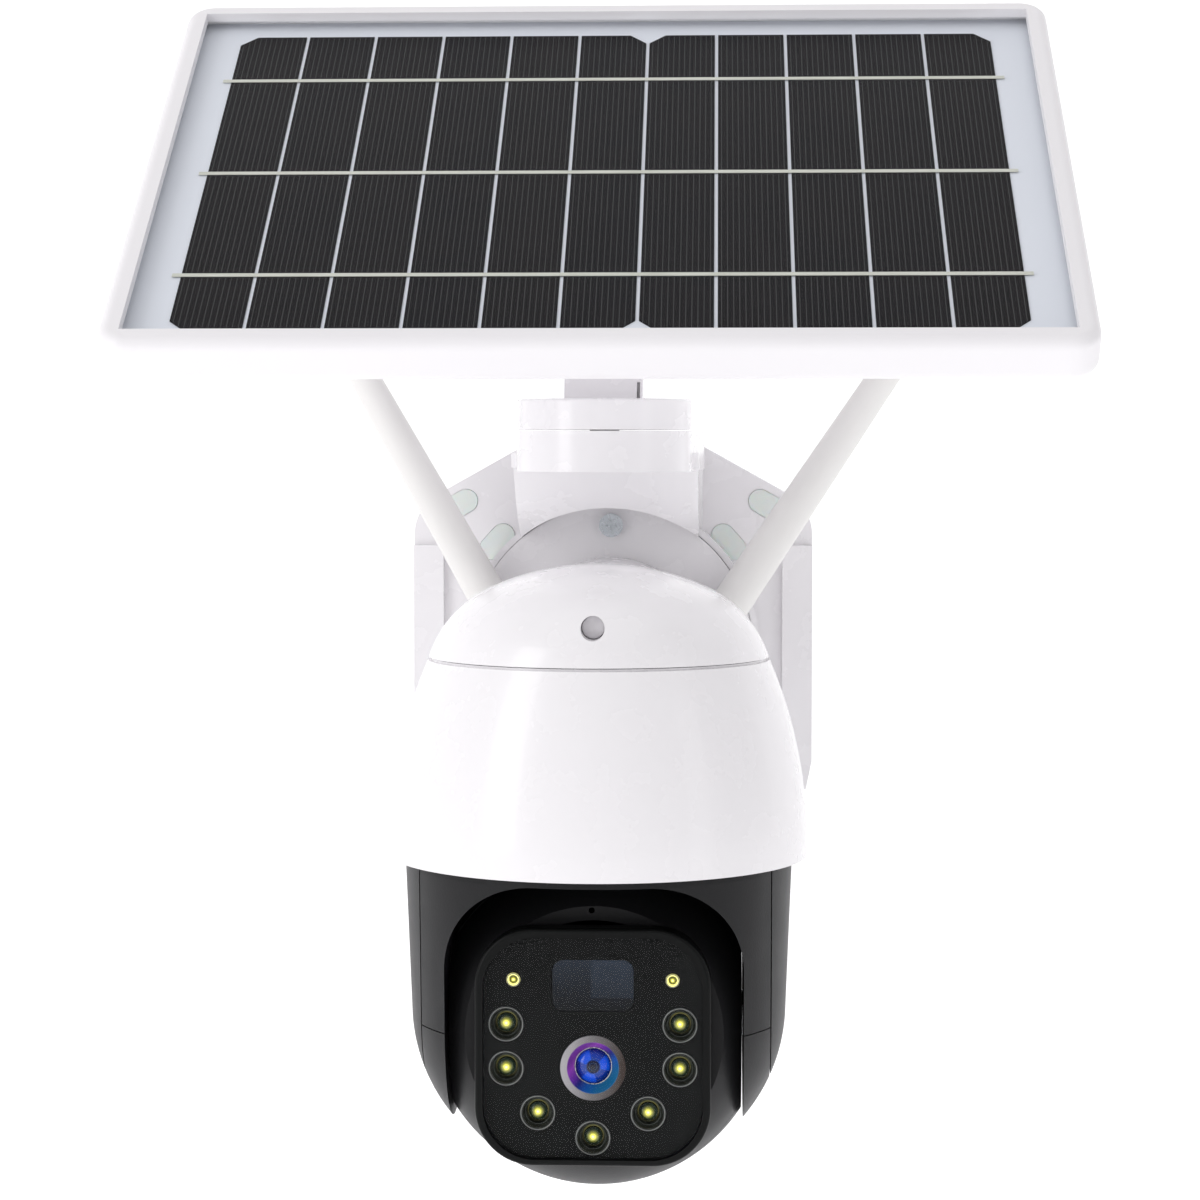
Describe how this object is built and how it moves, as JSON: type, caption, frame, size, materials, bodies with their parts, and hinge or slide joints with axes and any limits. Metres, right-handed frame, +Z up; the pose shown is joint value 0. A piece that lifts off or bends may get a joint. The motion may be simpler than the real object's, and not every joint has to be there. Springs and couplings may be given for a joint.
{
  "type": "solar-powered security camera",
  "caption": "Wall-hung battery security camera with a panning and tilting head under a domed shroud, folding antennas and a tilting solar panel above.",
  "frame": {"origin": "centre of the four wall screws, on the wall plane and about on the neck's axis", "axes": "+Y into the wall, +Z up, +X to the right as seen from the front; the camera looks along -Y"},
  "size_m": [0.26, 0.1904, 0.33],
  "materials": {
    "white_gloss": "glossy white moulded plastic",
    "white_satin": "satin white moulded plastic",
    "antenna_plastic": "satin off-white plastic",
    "black_satin": "satin black moulded plastic",
    "black_gloss": "gloss black",
    "clear_glass": "clear",
    "lens_coating": "coated lens",
    "silver": "zinc plated",
    "aluminium": "plain",
    "seal_rubber": "soft",
    "plug_rubber": "translucent soft",
    "board": "circuit board",
    "battery": "shrink wrapped",
    "motor_can": "plain steel",
    "gear_plastic": "natural acetal",
    "backsheet": "backsheet",
    "silicon": "solar cell",
    "ribbon": "tinned copper",
    "led_reflector": "vacuum metallised",
    "led_lamp": "phosphor",
    "sensor_blue": "dark window"
  },
  "bodies": {
    "housing": {"wall_plate": "white_satin", "housing_rear": "white_gloss", "housing_front": "white_gloss", "housing_gasket": "seal_rubber", "housing_screws": "silver", "shoulder_plugs": "plug_rubber", "battery_cells": "battery", "charge_board": "board", "port_plug": "plug_rubber", "solar_inlet": "seal_rubber", "neck": "white_gloss", "flange_screws": "silver", "dome_cap": "white_gloss", "dome_shroud": "white_gloss", "chassis_plate": "black_satin", "dome_screws": "silver", "main_board": "board", "pan_motor": "motor_can", "antenna_bases": "antenna_plastic"},
    "yoke": {"yoke_frame": "black_satin", "side_covers": "black_satin", "ear_caps": "black_satin", "tilt_shafts": "aluminium", "tilt_gear": "gear_plastic", "pan_gear": "gear_plastic", "hub_ring": "aluminium"},
    "pan_pinion": {"pan_pinion": "gear_plastic"},
    "head": {"head_rear_shell": "black_satin", "head_front_shell": "black_satin", "head_bezel": "black_gloss", "front_glass": "clear_glass", "front_mask": "black_gloss", "led_cups": "led_reflector", "led_emitters": "led_lamp", "status_leds": "led_lamp", "led_board": "board", "lens_barrel": "black_satin", "lens_ring": "silver", "lens_glass": "lens_coating", "sensor_window": "sensor_blue", "sensor_board": "board", "tilt_motor": "motor_can"},
    "tilt_pinion": {"tilt_pinion": "gear_plastic"},
    "swivel": {"swivel_disc": "white_gloss", "swivel_bolt": "silver", "panel_post": "white_gloss"},
    "panel": {"panel_frame": "white_satin", "panel_back": "white_satin", "backsheet": "backsheet", "solar_cells": "silicon", "cell_ribbons": "ribbon", "panel_glass": "clear_glass", "panel_lug": "white_satin", "bracket_screws": "silver", "hinge_bolt": "silver", "junction_box": "black_satin"},
    "hinge_knob": {"hinge_knob": "white_satin"},
    "antenna_left": {"antenna_left": "antenna_plastic"},
    "antenna_right": {"antenna_right": "antenna_plastic"},
    "power_button": {"power_button": "seal_rubber"}
  },
  "joints": [
    {"name": "pan", "type": "hinge", "parent": "housing", "child": "yoke", "pos_m": [0, -0.135, -0.042], "axis": [0, 0, 1], "range_deg": [-175, 175]},
    {"name": "pan_pinion_spin", "type": "hinge", "parent": "housing", "child": "pan_pinion", "pos_m": [0.0256, -0.135, -0.0325], "axis": [0, 0, 1], "range_deg": [-530, 530]},
    {"name": "tilt", "type": "hinge", "parent": "yoke", "child": "head", "pos_m": [0, -0.135, -0.093], "axis": [1, 0, 0], "range_deg": [-12, 90]},
    {"name": "tilt_pinion_spin", "type": "hinge", "parent": "head", "child": "tilt_pinion", "pos_m": [0.0318, -0.117, -0.093], "axis": [1, 0, 0], "range_deg": [-26, 184]},
    {"name": "panel_swivel", "type": "hinge", "parent": "housing", "child": "swivel", "pos_m": [0, -0.096, 0.0622], "axis": [0, 0, 1], "range_deg": [-30, 30]},
    {"name": "panel_tilt", "type": "hinge", "parent": "swivel", "child": "panel", "pos_m": [0, -0.078, 0.11], "axis": [1, 0, 0], "range_deg": [-35, 15]},
    {"name": "hinge_knob_spin", "type": "hinge", "parent": "panel", "child": "hinge_knob", "pos_m": [0.02, -0.078, 0.11], "axis": [1, 0, 0], "continuous": true},
    {"name": "antenna_left_fold", "type": "hinge", "parent": "housing", "child": "antenna_left", "pos_m": [-0.032, -0.053, 0.0065], "axis": [0, 1, 0], "range_deg": [-60.5, 21.5]},
    {"name": "antenna_right_fold", "type": "hinge", "parent": "housing", "child": "antenna_right", "pos_m": [0.032, -0.053, 0.0065], "axis": [0, 1, 0], "range_deg": [-25.7, 56.3]},
    {"name": "power_button_press", "type": "slide", "parent": "housing", "child": "power_button", "axis": [0, 0, 1], "range_m": [0, 0.001], "stiffness_N_per_m": 300}
  ],
  "couplings": [
    {"joint": "pan_pinion_spin", "follows": "pan", "ratio": -3},
    {"joint": "tilt_pinion_spin", "follows": "tilt", "ratio": 2}
  ]
}
